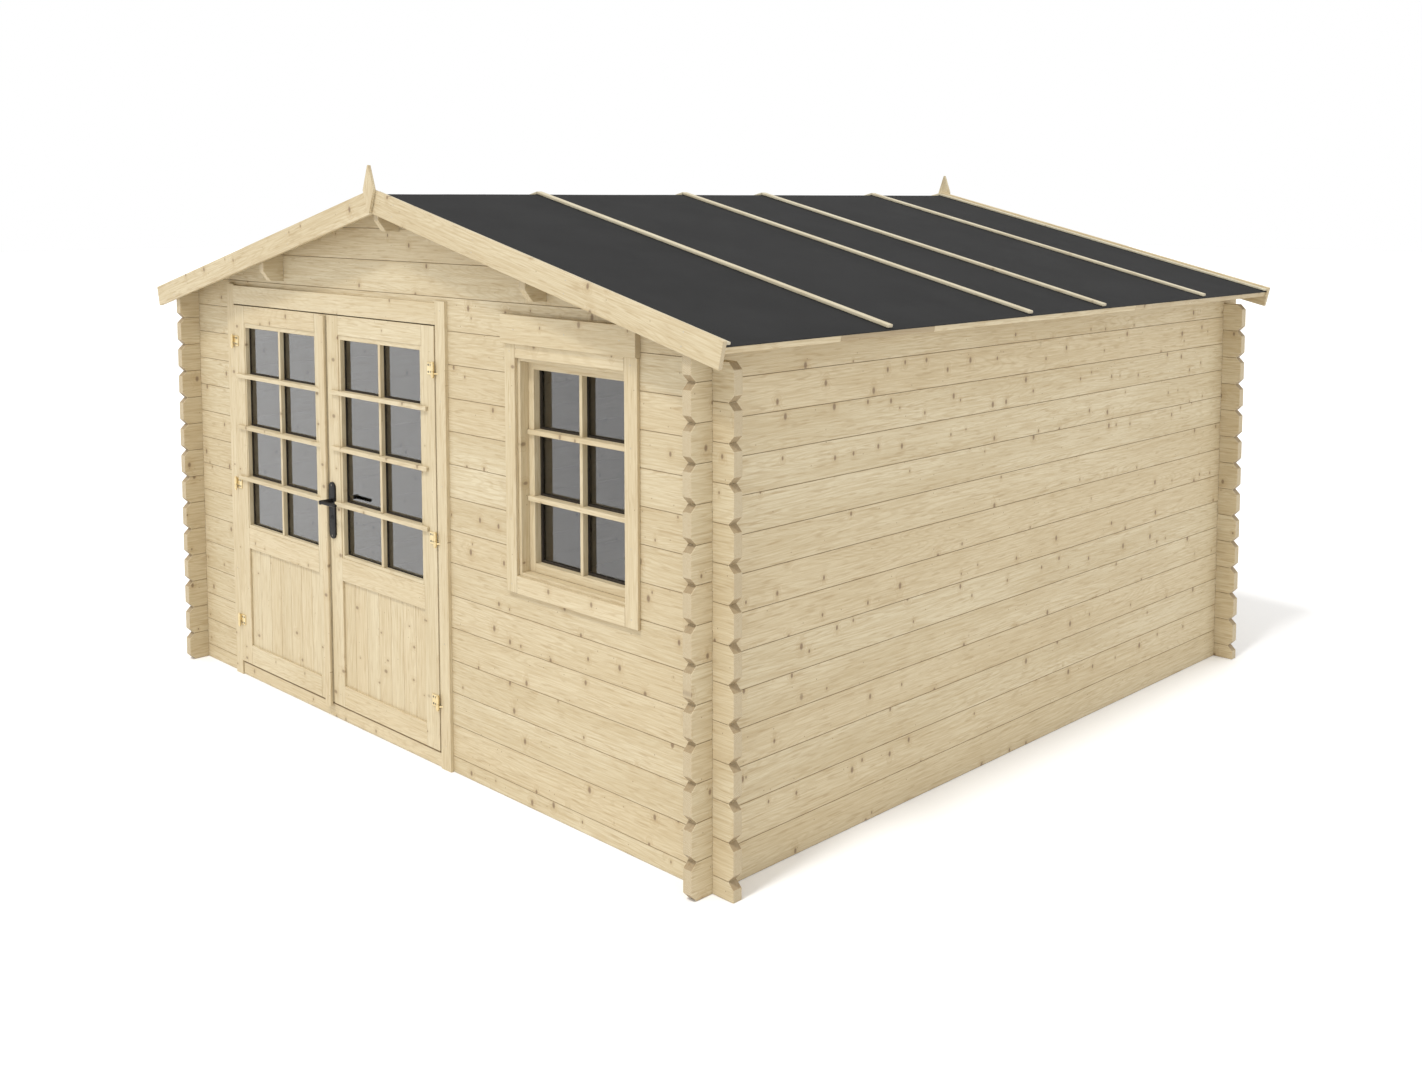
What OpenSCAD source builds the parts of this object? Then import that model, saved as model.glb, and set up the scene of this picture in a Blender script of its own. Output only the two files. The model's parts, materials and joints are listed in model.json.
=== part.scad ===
// Garden shed of interlocking logs, in millimetres.
// The front faces -Y, +X is to the right seen from the front, z = 0 is the ground.

/* [What to draw] */
// piece to draw, or all

/* [Walls] */
// outer wall face to outer wall face, left to right
wall_w = 3629;
// outer wall face to outer wall face, front to back
wall_d = 3629;
// height of one log
log_h = 132;
// thickness of a log
log_t = 40;
// how far a log end stands out past the corner
log_end = 97;
// chamfer on a log end
log_cut = 25;
// half of the gap at a seam
seam = 0.3;

/* [Roof] */
// rise of the roof over its run
pitch = 0.2405;
// underside of the deck at the ridge
ridge_z = 2295.3;
// deck thickness
deck_t = 20;
// felt thickness
felt_t = 4;
// deck length down the slope
deck_u = 2002;
// deck past the outer wall face, front and back
deck_over = 100;
// bargeboard width
barge_w = 95;
// bargeboard thickness
barge_t = 18;
// bargeboard length down the slope
barge_u = 2025.9;
// bargeboard top over the deck's underside
barge_v = 41.6;
// tip of the finials
finial_z = 2434;
// finial thickness
finial_t = 14;
// batten width
batten_w = 28;
// batten thickness
batten_t = 12.6;
// batten places along Y
batten_y = [-1078, -185, 376, 1270];
// eave lath height and thickness
lath_h = 26;
lath_t = 12;
// purlin width and lowest points
purlin_w = 34;
purlin_x = 950;
purlin_ridge_z = 2168;
purlin_side_z = 1930;

/* [Door] */
// opening in the logs
door_x0 = -1414;
door_x1 = 312.5;
door_top = 1840;
// inner edges of the casings
leaf_l0 = -1387;
leaf_r1 = 281;
// meeting edges of the leaves
meet_l = -544;
meet_r = -537;
// gap at the hinge edge, the sill and the head
gap = 5;
sill_z = 65;
head_z = 1803;
// stile widths, left and right leaf
stile_l = 97;
stile_r = 90;
// rails: lower panel and glass heights
panel_z0 = 164;
panel_z1 = 638;
glass_z0 = 738;
glass_z1 = 1715;
// leaf faces behind the wall's outer face
leaf_front = -18;
leaf_back = 22;
// pin hinge heights and barrel
hinge_z = [268, 936, 1620];
hinge_r = 7;

/* [Handle] */
handle_x = -510;
handle_z = 984;
grip_r = 8;
grip_len = 118;
grip_out = 58;

/* [Window] */
// opening in the logs
win_x0 = 768;
win_x1 = 1434;
// inner edges of the casing
win_i0 = 791;
win_i1 = 1401;
win_iz0 = 888;
win_iz1 = 1712;
// inner edges of the frame
win_f0 = 805;
win_f1 = 1387;
win_fz0 = 900;
win_fz1 = 1700;
// glass
pane_x0 = 838;
pane_x1 = 1354;
pane_z0 = 935;
pane_z1 = 1668;

/* [Hidden] */
$fn = 48;
hw = wall_w / 2;
hd = wall_d / 2;
yf = -hd;
ca = cos(atan(pitch));
sa = sin(atan(pitch));
top_z = ridge_z - pitch * hw;
hinge_y = yf + leaf_front - 10;
hinge_xl = leaf_l0 + gap / 2;
hinge_xr = leaf_r1 - gap / 2;
deck_y = hd + deck_over;

// ---- helpers ----

// polygon in x, z drawn out from y0 to y1
module slab_xz(pts, y0, y1)
  translate([0, y1, 0]) rotate([90, 0, 0]) linear_extrude(y1 - y0) polygon(pts);

// polygon in y, z drawn out from x0 to x1
module slab_yz(pts, x0, x1)
  translate([x0, 0, 0]) rotate([90, 0, 90]) linear_extrude(x1 - x0) polygon(pts);

module box(x0, x1, y0, y1, z0, z1)
  translate([x0, y0, z0]) cube([x1 - x0, y1 - y0, z1 - z0]);

// point u down the slope and v above the deck's underside, side s
function rp(u, v, s) = [s * (u * ca + v * sa), ridge_z - u * sa + v * ca];

// slab on a roof slope from the ridge to u1, between v0 and v1
function slope_pts(u1, v0, v1, s) = [
  [s * 0.3, ridge_z - pitch * 0.3 + v0 / ca],
  rp(u1, v0, s), rp(u1, v1, s),
  [s * 0.3, ridge_z - pitch * 0.3 + v1 / ca]];

// space under the deck
module under_roof()
  slab_xz([[-2000, -10], [2000, -10], [2000, ridge_z - 0.5 - pitch * 2000],
    [0, ridge_z - 0.5], [-2000, ridge_z - 0.5 - pitch * 2000]], -2000, 2000);

function fz0(k) = k == 0 ? 0 : (k - 0.5) * log_h + seam;
function fz1(k) = (k + 0.5) * log_h - seam;

// log along X, chamfered at an end that stands out past a corner
function log_pts(k, xa, xb, c0, c1) = let (z0 = fz0(k), z1 = fz1(k)) concat(
  (k == 0 || c0 == 0) ? [[xa, z0]] : [[xa, z0 + c0], [xa + c0, z0]],
  (k == 0 || c1 == 0) ? [[xb, z0]] : [[xb - c1, z0], [xb, z0 + c1]],
  c1 == 0 ? [[xb, z1]] : [[xb, z1 - c1], [xb - c1, z1]],
  c0 == 0 ? [[xa, z1]] : [[xa + c0, z1], [xa, z1 - c0]]);

// what a crossing log takes out of log k of the front or rear wall, on side s
module cross_x(k, s, y0) {
  xa = s > 0 ? hw - log_t - seam : -hw - seam;
  xb = xa + log_t + 2 * seam;
  box(xa, xb, y0 - 1, y0 + log_t + 1, (k + 0.25) * log_h - 0.15, (k + 0.5) * log_h + 5);
  if (k > 0)
    box(xa, xb, y0 - 1, y0 + log_t + 1, (k - 0.5) * log_h - 5, (k - 0.25) * log_h + 0.15);
}

module log_x(k, xa, xb, y0, left = false, right = false)
  difference() {
    slab_xz(log_pts(k, xa, xb, left ? log_cut : 0, right ? log_cut : 0), y0, y0 + log_t);
    if (left) cross_x(k, -1, y0);
    if (right) cross_x(k, 1, y0);
  }

// log along Y in a side wall
module log_y(k, x0) {
  z0 = k == 0 ? 0 : k * log_h + seam;
  z1 = k == 13 ? top_z : (k + 1) * log_h - seam;
  l = hd + log_end;
  difference() {
    slab_yz([[-l, z0 + log_cut], [-l + log_cut, z0], [l - log_cut, z0], [l, z0 + log_cut],
      [l, z1 - log_cut], [l - log_cut, z1], [-l + log_cut, z1], [-l, z1 - log_cut]], x0, x0 + log_t);
    for (s = [-1, 1]) {
      ya = s > 0 ? hd - log_t - seam : -hd - seam;
      yb = ya + log_t + 2 * seam;
      box(x0 - 1, x0 + log_t + 1, ya, yb, (k + 0.75) * log_h - 0.15, (k + 1) * log_h + 60);
      box(x0 - 1, x0 + log_t + 1, ya, yb, k * log_h - 5, (k + 0.25) * log_h + 0.15);
    }
  }
}

// top log of a side wall, planed to the roof slope
module top_log(s) {
  x0 = s > 0 ? hw - log_t : -hw;
  z0 = 13 * log_h + seam;
  l = hd + log_end;
  difference() {
    intersection() {
      slab_yz([[-l, z0 + log_cut], [-l + log_cut, z0], [l - log_cut, z0], [l, z0 + log_cut],
        [l, top_z - log_cut], [l - log_cut, top_z], [l - log_cut, top_z + 20],
        [-l + log_cut, top_z + 20], [-l + log_cut, top_z], [-l, top_z - log_cut]], x0, x0 + log_t);
      under_roof();
    }
    for (q = [-1, 1]) {
      ya = q > 0 ? hd - log_t - seam : -hd - seam;
      yb = ya + log_t + 2 * seam;
      box(x0 - 1, x0 + log_t + 1, ya, yb, 13.75 * log_h - 0.15, 14 * log_h + 80);
      box(x0 - 1, x0 + log_t + 1, ya, yb, 13 * log_h - 5, 13.25 * log_h + 0.15);
    }
  }
}

module purlin_cut(y0, g) {
  for (x = [-purlin_x, purlin_x])
    box(x - purlin_w / 2 - g, x + purlin_w / 2 + g, y0 - 1, y0 + log_t + 1, purlin_side_z - g, 2200);
  box(-purlin_w / 2 - g, purlin_w / 2 + g, y0 - 1, y0 + log_t + 1, purlin_ridge_z - g, 2400);
}

// logs of a gable from the crossing up to the ridge
module gable_log(k, y0) {
  z0 = fz0(k);
  z1 = fz1(k);
  difference() {
    intersection() {
      if (k == 14) slab_xz([[-hw, z0], [hw, z0], [hw, z1], [-hw, z1]], y0, y0 + log_t);
      if (k == 15) slab_xz([[-1700, z0], [1700, z0], [1700, 2090], [purlin_x, 2090], [purlin_x, z1],
        [-purlin_x, z1], [-purlin_x, 2090], [-1700, 2090]], y0, y0 + log_t);
      if (k == 16) slab_xz([[-purlin_x, z0], [purlin_x, z0], [purlin_x, z1], [-purlin_x, z1]], y0, y0 + log_t);
      if (k == 17) slab_xz([[-600, z0], [600, z0], [600, 2400], [-600, 2400]], y0, y0 + log_t);
      under_roof();
    }
    purlin_cut(y0, 0.4);
    if (k == 14) for (s = [-1, 1]) {
      xa = s > 0 ? hw - log_t - seam : -hw - seam;
      box(xa, xa + log_t + 2 * seam, y0 - 1, y0 + log_t + 1, z0 - 5, 13.75 * log_h + 0.15);
    }
  }
}

// ---- walls ----

module left_wall() color([0.80, 0.67, 0.48]) {
  for (k = [0 : 12]) log_y(k, -hw);
  top_log(-1);
}

module right_wall() color([0.80, 0.67, 0.48]) {
  for (k = [0 : 12]) log_y(k, hw - log_t);
  top_log(1);
}

module back_wall() color([0.80, 0.67, 0.48])
  for (k = [0 : 13]) log_x(k, -hw - log_end, hw + log_end, hd - log_t, true, true);

module back_gable() color([0.80, 0.67, 0.48])
  for (k = [14 : 17]) gable_log(k, hd - log_t);

module front_left_wall() color([0.80, 0.67, 0.48])
  for (k = [0 : 13]) log_x(k, -hw - log_end, door_x0, yf, true, false);

module front_low_wall() color([0.80, 0.67, 0.48])
  for (k = [0 : 6]) log_x(k, door_x1, hw + log_end, yf, false, true);

module front_mid_wall() color([0.80, 0.67, 0.48])
  for (k = [7 : 13]) log_x(k, door_x1, win_x0, yf);

module front_right_wall() color([0.80, 0.67, 0.48])
  for (k = [7 : 13]) log_x(k, win_x1, hw + log_end, yf, false, true);

module lintel_log() color([0.80, 0.67, 0.48])
  difference() {
    gable_log(14, yf);
    box(door_x0, door_x1, yf - 1, yf + log_t + 1, 1700, door_top);
  }

module front_gable() color([0.80, 0.67, 0.48])
  for (k = [15 : 17]) gable_log(k, yf);

// ---- roof ----

module purlin_body(x, zb) {
  l = hd + log_end + 1;
  a = purlin_w / 2;
  difference() {
    intersection() {
      box(x - a, x + a, -l, l, zb, 2400);
      under_roof();
    }
    for (s = [-1, 1])
      slab_yz([[s * (l + 2), zb + 45 + 2 * 45 / 38], [s * (l + 2), zb - 2], [s * (l - 38 + 2 * 38 / 45), zb - 2]],
        x - a - 1, x + a + 1);
  }
}

module purlins() color([0.82, 0.69, 0.50]) {
  purlin_body(-purlin_x, purlin_side_z);
  purlin_body(0, purlin_ridge_z);
  purlin_body(purlin_x, purlin_side_z);
}

module deck(s) slab_xz(slope_pts(deck_u, 0, deck_t, s), -deck_y, deck_y);
module felt(s) slab_xz(slope_pts(deck_u + 18, deck_t + 0.2, deck_t + felt_t, s), -deck_y, deck_y);

module deck_left() color([0.81, 0.68, 0.49]) deck(-1);
module deck_right() color([0.81, 0.68, 0.49]) deck(1);
module felt_left() color([0.09, 0.09, 0.09]) felt(-1);
module felt_right() color([0.09, 0.09, 0.09]) felt(1);

module eave_laths() color([0.82, 0.69, 0.50])
  for (s = [-1, 1])
    slab_xz([rp(deck_u + 0.3, deck_t - lath_h, s), rp(deck_u + 0.3 + lath_t, deck_t - lath_h, s),
      rp(deck_u + 0.3 + lath_t, deck_t, s), rp(deck_u + 0.3, deck_t, s)], -deck_y, deck_y);

module roof_battens() color([0.83, 0.76, 0.63])
  for (s = [-1, 1], y = batten_y)
    slab_xz(slope_pts(deck_u + 8, deck_t + felt_t + 0.2, deck_t + felt_t + batten_t, s),
      y - batten_w / 2, y + batten_w / 2);

module gable_slats() color([0.83, 0.76, 0.63])
  for (s = [-1, 1], q = [-1, 1])
    slab_xz(slope_pts(deck_u + 16, deck_t + felt_t + 0.2, deck_t + felt_t + 10, s),
      q < 0 ? -deck_y : deck_y - 26, q < 0 ? -deck_y + 26 : deck_y);

module barge(s, y0) slab_xz(slope_pts(barge_u, barge_v - barge_w, barge_v, s), y0, y0 + barge_t);

module bargeboards_front() color([0.84, 0.72, 0.53])
  for (s = [-1, 1]) barge(s, -deck_y - 0.2 - barge_t);

module bargeboards_back() color([0.84, 0.72, 0.53])
  for (s = [-1, 1]) barge(s, deck_y + 0.2);

module finials() color([0.84, 0.72, 0.53])
  for (q = [-1, 1]) {
    y0 = q < 0 ? -deck_y - 0.4 - barge_t - finial_t : deck_y + 0.4 + barge_t;
    slab_xz([[-4, 2242], [4, 2242], [39, 2334], [3, finial_z], [-3, finial_z], [-39, 2334]], y0, y0 + finial_t);
  }

// ---- door frame ----

module door_casing() color([0.85, 0.74, 0.56])
  difference() {
    union() {
      box(-1449, leaf_l0, yf - 15, yf - 0.2, 0, 1898);
      box(leaf_r1, 346, yf - 15, yf - 0.2, 0, 1898);
      box(leaf_l0 + 0.3, leaf_r1 - 0.3, yf - 15, yf - 0.2, head_z, 1890);
    }
    for (z = hinge_z) {
      stem(hinge_xl, z - 11, -1, 3.05);
      stem(hinge_xr, z - 11, 1, 3.05);
    }
  }

module jamb(xo, xi, s)
  linear_extrude(door_top - 0.5)
    polygon([[xo, yf + 0.2], [xi, yf + 0.2], [xi, yf + 28], [xi + s * 12, yf + 28], [xi + s * 12, yf + 48], [xo, yf + 48]]);

module door_frame() color([0.84, 0.72, 0.54]) {
  jamb(door_x0 + 0.5, leaf_l0, 1);
  jamb(door_x1 - 0.5, leaf_r1, -1);
  union() {
    box(leaf_l0 + 0.3, leaf_r1 - 0.3, yf + 0.2, yf + 27.9, head_z, door_top - 0.5);
    box(leaf_l0 + 12.3, leaf_r1 - 12.3, yf + 20, yf + 48, head_z - 0.1, door_top - 0.5);
    box(leaf_l0 + 12.3, leaf_r1 - 12.3, yf + 28, yf + 48, head_z - 12, head_z);
  }
}

module door_sill() color([0.82, 0.69, 0.50])
  box(leaf_l0 + 0.3, leaf_r1 - 0.3, yf - 10, yf + 27.7, 0, sill_z);

// ---- pin hinges ----

// stem from a barrel into the wood behind it, towards side s
module stem(x, z, s, r, len = 30)
  translate([x, hinge_y, z]) rotate([0, 0, s > 0 ? 45 : 135]) rotate([0, 90, 0]) cylinder(r = r, h = len);

module frame_hinge(x, z, s) {
  translate([x, hinge_y, z - 22]) cylinder(r = hinge_r, h = 21.5);
  translate([x, hinge_y, z - 28]) cylinder(r = 5, h = 7);
  translate([x, hinge_y, z - 1]) cylinder(r = 3.5, h = 21);
  stem(x, z - 11, s, 3);
}

// upper barrel with a flag that lies on the leaf, on side s
module leaf_hinge(x, z, s)
  difference() {
    union() {
      translate([x, hinge_y, z + 0.5]) cylinder(r = hinge_r, h = 31.5);
      translate([x, hinge_y, z + 31]) cylinder(r = 5, h = 6);
      box(s > 0 ? x : x - 46, s > 0 ? x + 46 : x, yf + leaf_front - 4.2, yf + leaf_front - 0.2, z + 1.5, z + 32);
      box(s > 0 ? x + 10 : x - 46, s > 0 ? x + 46 : x - 10, yf + leaf_front - 4.2, yf + leaf_front - 0.2, z - 16, z + 2);
    }
    translate([x, hinge_y, z]) cylinder(r = 3.56, h = 21);
  }

module frame_hinges() color([0.72, 0.56, 0.27])
  for (z = hinge_z) {
    frame_hinge(hinge_xl, z, -1);
    frame_hinge(hinge_xr, z, 1);
  }

module left_leaf_hinges() color([0.72, 0.56, 0.27])
  for (z = hinge_z) leaf_hinge(hinge_xl, z, 1);

module right_leaf_hinges() color([0.72, 0.56, 0.27])
  for (z = hinge_z) leaf_hinge(hinge_xr, z, -1);

// ---- door leaves ----

leaf_z0 = sill_z + gap;
leaf_z1 = head_z - gap;

module leaf_frame(x0, x1, stile) {
  y0 = yf + leaf_front;
  y1 = yf + leaf_back;
  difference() {
    union() {
      box(x0, x0 + stile, y0, y1, leaf_z0, leaf_z1);
      box(x1 - stile, x1, y0, y1, leaf_z0, leaf_z1);
      box(x0 + stile + 0.2, x1 - stile - 0.2, y0, y1, leaf_z0, panel_z0);
      box(x0 + stile + 0.2, x1 - stile - 0.2, y0, y1, panel_z1, glass_z0);
      box(x0 + stile + 0.2, x1 - stile - 0.2, y0, y1, glass_z1, leaf_z1);
    }
    box(x0 + stile - 8, x1 - stile + 8, yf + 9.7, yf + 14.3, glass_z0 - 8, glass_z1 + 8);
    box(x0 + stile - 8, x1 - stile + 8, yf - 8.3, yf + 4.3, panel_z0 - 8, panel_z1 + 8);
  }
}

module leaf_glass(x0, x1, stile)
  box(x0 + stile - 7.6, x1 - stile + 7.6, yf + 10, yf + 14, glass_z0 - 7.6, glass_z1 + 7.6);

module leaf_panel(x0, x1, stile)
  box(x0 + stile - 7.6, x1 - stile + 7.6, yf - 8, yf + 4, panel_z0 - 7.6, panel_z1 + 7.6);

module left_leaf_frame() color([0.85, 0.74, 0.56]) leaf_frame(leaf_l0 + gap, meet_l, stile_l);

module left_leaf_panel() color([0.83, 0.72, 0.54]) leaf_panel(leaf_l0 + gap, meet_l, stile_l);
module left_leaf_glass() color([0.50, 0.52, 0.53, 0.5]) leaf_glass(leaf_l0 + gap, meet_l, stile_l);

module meeting_strip() color([0.85, 0.74, 0.56])
  box(meet_l - 48, meet_l, yf + leaf_front - 14, yf + leaf_front - 0.2, 54, leaf_z1 - 4);

module right_leaf_frame() color([0.85, 0.74, 0.56])
  difference() {
    leaf_frame(meet_r, leaf_r1 - gap, stile_r);
    translate([handle_x, yf - 50, handle_z]) rotate([-90, 0, 0]) cylinder(r = 5.1, h = 100);
  }

module right_leaf_panel() color([0.83, 0.72, 0.54]) leaf_panel(meet_r, leaf_r1 - gap, stile_r);
module right_leaf_glass() color([0.50, 0.52, 0.53, 0.5]) leaf_glass(meet_r, leaf_r1 - gap, stile_r);

// ---- handle ----

module plate(y0, y1)
  difference() {
    union() {
      box(handle_x - 24, handle_x + 24, y0, y1, 840, 1042);
      for (z = [840, 1042])
        translate([handle_x, y1, z]) rotate([90, 0, 0]) cylinder(r = 24, h = y1 - y0);
    }
    translate([handle_x, y0 - 1, handle_z]) rotate([-90, 0, 0]) cylinder(r = 5.1, h = y1 - y0 + 2);
  }

module handle_plates() color([0.05, 0.05, 0.05]) {
  plate(yf + leaf_front - 8, yf + leaf_front - 0.2);
  plate(yf + leaf_back + 0.2, yf + leaf_back + 8);
}

// lever arm: a round bar with a turned-down end
module grip(y)
  translate([handle_x, y, handle_z]) rotate([0, 90, 0]) {
    cylinder(r = grip_r, h = grip_len - 4);
    translate([0, 0, grip_len - 4]) cylinder(r1 = grip_r, r2 = grip_r - 3, h = 4);
  }

module handle_lever() color([0.05, 0.05, 0.05]) {
  yo = yf + leaf_front - grip_out;
  yi = yf + leaf_back + grip_out;
  translate([handle_x, yo, handle_z]) rotate([-90, 0, 0]) cylinder(r = 5, h = yi - yo);
  translate([handle_x, yo - 9, handle_z]) rotate([-90, 0, 0]) cylinder(r = grip_r + 1.5, h = grip_out + 0.6);
  translate([handle_x, yf + leaf_back + 8.4, handle_z]) rotate([-90, 0, 0]) cylinder(r = grip_r + 1.5, h = grip_out + 0.6);
  grip(yo);
  grip(yi);
}

// ---- window ----

module window_casing() color([0.85, 0.74, 0.56]) {
  y0 = yf - 14;
  y1 = yf - 0.2;
  box(729, win_i0, y0, y1, 820, 1763);
  box(win_i1, 1468, y0, y1, 820, 1763);
  box(win_i0 + 0.2, win_i1 - 0.2, y0, y1, 820, win_iz0);
  box(win_i0 + 0.2, win_i1 - 0.2, y0, y1, win_iz1, 1763);
}

module window_top_board() color([0.84, 0.72, 0.54])
  box(717, 1471, yf - 25, yf - 0.2, 1763.3, 1872);

module window_frame() color([0.84, 0.72, 0.54]) {
  y0 = yf + 0.2;
  y1 = yf + 94;
  z0 = 6.5 * log_h + 0.5;
  z1 = 13.5 * log_h - 0.5;
  box(win_x0 + 0.5, win_f0, y0, y1, z0, z1);
  box(win_f1, win_x1 - 0.5, y0, y1, z0, z1);
  box(win_f0 + 0.2, win_f1 - 0.2, y0, y1, z0, win_fz0);
  box(win_f0 + 0.2, win_f1 - 0.2, y0, y1, win_fz1, z1);
}

module window_sash() color([0.85, 0.74, 0.56]) {
  x0 = win_f0 + 1;
  x1 = win_f1 - 1;
  z0 = win_fz0 + 1;
  z1 = win_fz1 - 1;
  y0 = yf + 38;
  y1 = yf + 88;
  difference() {
    union() {
      box(x0, pane_x0, y0, y1, z0, z1);
      box(pane_x1, x1, y0, y1, z0, z1);
      box(pane_x0 + 0.2, pane_x1 - 0.2, y0, y1, z0, pane_z0);
      box(pane_x0 + 0.2, pane_x1 - 0.2, y0, y1, pane_z1, z1);
    }
    box(pane_x0 - 8, pane_x1 + 8, yf + 73.7, yf + 78.3, pane_z0 - 8, pane_z1 + 8);
  }
}

module window_glass() color([0.42, 0.44, 0.45, 0.5])
  box(pane_x0 - 7.6, pane_x1 + 7.6, yf + 74, yf + 78, pane_z0 - 7.6, pane_z1 + 7.6);

// ---- drawing ----

left_wall();
right_wall();
back_wall();
back_gable();
front_left_wall();
front_low_wall();
front_mid_wall();
front_right_wall();
lintel_log();
front_gable();
purlins();
deck_left();
deck_right();
felt_left();
felt_right();
eave_laths();
roof_battens();
gable_slats();
bargeboards_front();
bargeboards_back();
finials();
door_casing();
door_frame();
door_sill();
frame_hinges();
window_casing();
window_top_board();
window_frame();
window_sash();
window_glass();
left_leaf_frame();
left_leaf_panel();
left_leaf_glass();
meeting_strip();
left_leaf_hinges();
right_leaf_frame();
right_leaf_panel();
right_leaf_glass();
right_leaf_hinges();
handle_plates();
handle_lever();
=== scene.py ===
import bpy
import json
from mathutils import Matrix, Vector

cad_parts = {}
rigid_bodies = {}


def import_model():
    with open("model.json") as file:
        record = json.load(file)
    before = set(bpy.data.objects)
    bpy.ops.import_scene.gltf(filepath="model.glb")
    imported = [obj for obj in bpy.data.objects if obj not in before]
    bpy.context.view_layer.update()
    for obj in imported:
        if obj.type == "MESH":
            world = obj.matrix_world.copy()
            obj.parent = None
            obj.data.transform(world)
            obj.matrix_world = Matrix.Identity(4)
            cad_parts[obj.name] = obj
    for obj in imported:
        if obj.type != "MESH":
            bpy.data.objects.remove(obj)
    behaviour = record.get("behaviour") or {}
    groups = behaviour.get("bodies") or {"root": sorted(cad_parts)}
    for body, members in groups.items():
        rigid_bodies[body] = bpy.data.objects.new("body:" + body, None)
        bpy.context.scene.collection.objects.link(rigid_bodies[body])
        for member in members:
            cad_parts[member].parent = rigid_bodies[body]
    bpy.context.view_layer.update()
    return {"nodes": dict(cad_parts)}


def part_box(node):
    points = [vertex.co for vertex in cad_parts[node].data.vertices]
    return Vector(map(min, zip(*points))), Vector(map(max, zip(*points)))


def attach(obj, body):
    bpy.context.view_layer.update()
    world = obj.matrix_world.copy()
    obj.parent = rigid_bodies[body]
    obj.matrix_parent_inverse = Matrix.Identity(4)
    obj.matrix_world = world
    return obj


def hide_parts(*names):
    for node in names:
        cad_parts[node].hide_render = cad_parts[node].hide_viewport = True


for _o in list(bpy.data.objects):
    bpy.data.objects.remove(_o)
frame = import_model()

import json
import math
import random

import bmesh
from mathutils import Vector, noise as mnoise

NODES = frame["nodes"]
rng = random.Random(20)

# ---------------------------------------------------------------- sizes, in metres
YF = -1.8145            # outer face of the front wall
PITCH = 0.2405
CA, SA = math.cos(math.atan(PITCH)), math.sin(math.atan(PITCH))
RIDGE = 2.2953          # underside of the deck at the ridge
DECK_T, FELT_T, DECK_U, DECK_Y = 0.020, 0.004, 2.002, 1.9145


def rp(u, v, s):
    """Point u down the slope and v above the deck's underside, on side s."""
    return (s * (u * CA + v * SA), RIDGE - u * SA + v * CA)


# ---------------------------------------------------------------- node helpers
class Tree:
    def __init__(self, name):
        self.mat = bpy.data.materials.new(name)
        self.mat.use_nodes = True
        self.nt = self.mat.node_tree
        self.nt.nodes.clear()
        self.out = self.nt.nodes.new("ShaderNodeOutputMaterial")
        self.bsdf = self.nt.nodes.new("ShaderNodeBsdfPrincipled")
        self.link(self.bsdf.outputs[0], self.out.inputs["Surface"])

    def node(self, kind, **props):
        n = self.nt.nodes.new(kind)
        for k, v in props.items():
            setattr(n, k, v)
        return n

    def link(self, a, b):
        self.nt.links.new(a, b)

    def put(self, socket, value):
        if isinstance(value, bpy.types.NodeSocket):
            self.link(value, socket)
        else:
            socket.default_value = value

    def math(self, op, a, b=0.0, clamp=False):
        n = self.node("ShaderNodeMath", operation=op, use_clamp=clamp)
        self.put(n.inputs[0], a)
        self.put(n.inputs[1], b)
        return n.outputs[0]

    def step(self, x, lo, hi, a=0.0, b=1.0, kind="SMOOTHSTEP"):
        n = self.node("ShaderNodeMapRange", interpolation_type=kind, clamp=True)
        for i, v in enumerate((x, lo, hi, a, b)):
            self.put(n.inputs[i], v)
        return n.outputs[0]

    def attr(self, name):
        return self.node("ShaderNodeAttribute", attribute_name=name)

    def split(self, vec):
        n = self.node("ShaderNodeSeparateXYZ")
        self.link(vec, n.inputs[0])
        return n.outputs

    def join(self, x, y, z=0.0):
        n = self.node("ShaderNodeCombineXYZ")
        for i, v in enumerate((x, y, z)):
            self.put(n.inputs[i], v)
        return n.outputs[0]

    def noise(self, vec, scale=1.0, detail=2.0, rough=0.5, distortion=0.0):
        n = self.node("ShaderNodeTexNoise", noise_dimensions="3D")
        self.put(n.inputs["Vector"], vec)
        n.inputs["Scale"].default_value = scale
        n.inputs["Detail"].default_value = detail
        n.inputs["Roughness"].default_value = rough
        n.inputs["Distortion"].default_value = distortion
        return n.outputs[0]

    def voronoi(self, vec, scale, randomness=1.0):
        n = self.node("ShaderNodeTexVoronoi", voronoi_dimensions="2D", feature="F1")
        self.put(n.inputs["Vector"], vec)
        n.inputs["Scale"].default_value = scale
        n.inputs["Randomness"].default_value = randomness
        return n.outputs["Distance"], n.outputs["Color"]

    def mix(self, fac, a, b, blend="MIX"):
        n = self.node("ShaderNodeMix", data_type="RGBA", blend_type=blend)
        n.clamp_factor = True
        self.put(n.inputs[0], fac)
        for i, v in ((6, a), (7, b)):
            if isinstance(v, (tuple, list)):
                v = (*v[:3], 1.0)
            self.put(n.inputs[i], v)
        return n.outputs[2]

    def bump(self, height, strength, distance):
        n = self.node("ShaderNodeBump")
        n.inputs["Strength"].default_value = strength
        n.inputs["Distance"].default_value = distance
        self.link(height, n.inputs["Height"])
        self.link(n.outputs[0], self.bsdf.inputs["Normal"])


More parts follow.
